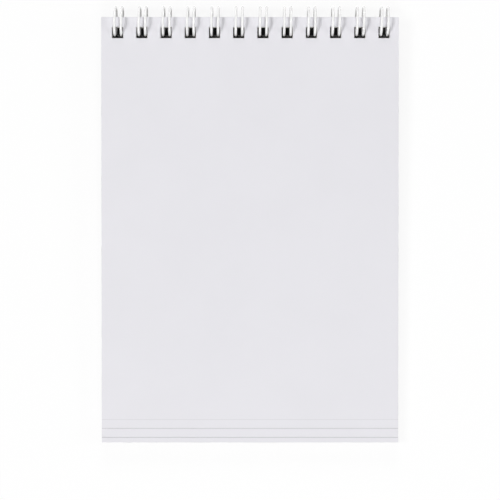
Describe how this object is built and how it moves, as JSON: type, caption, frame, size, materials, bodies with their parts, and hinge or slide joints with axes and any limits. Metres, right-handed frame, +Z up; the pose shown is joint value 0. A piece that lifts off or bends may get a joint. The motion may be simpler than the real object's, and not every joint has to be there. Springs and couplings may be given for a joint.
{
  "type": "spiral notebook",
  "caption": "Closed white pocket notebook bound along its top edge with twin-loop wire; both covers hinge on the loops.",
  "frame": {"origin": "centre of the bounding box on the surface that the closed notebook lies on", "axes": "+X along the row of loops, to the right when the front cover is read; +Y from the free edge to the bound edge; +Z up, out of the front cover"},
  "size_m": [0.104, 0.153, 0.0108],
  "materials": {
    "cover_white": "smooth white card, faint satin",
    "board_back": "dark pressed board",
    "leaves": "uncoated writing paper",
    "wire_white": "white plastic coating on steel wire, glossy"
  },
  "bodies": {
    "leaves": {"page_block": "leaves", "wire_binding": "wire_white"},
    "front": {"front_cover": "cover_white"},
    "back": {"back_cover": "board_back"}
  },
  "joints": [
    {"name": "front_cover_hinge", "type": "hinge", "parent": "leaves", "child": "front", "pos_m": [0, 0.07162, 0.00506], "axis": [-1, 0, 0], "range_deg": [0, 180]},
    {"name": "back_cover_hinge", "type": "hinge", "parent": "leaves", "child": "back", "pos_m": [0, 0.0716, 0.00581], "axis": [1, 0, 0], "range_deg": [0, 180]}
  ]
}
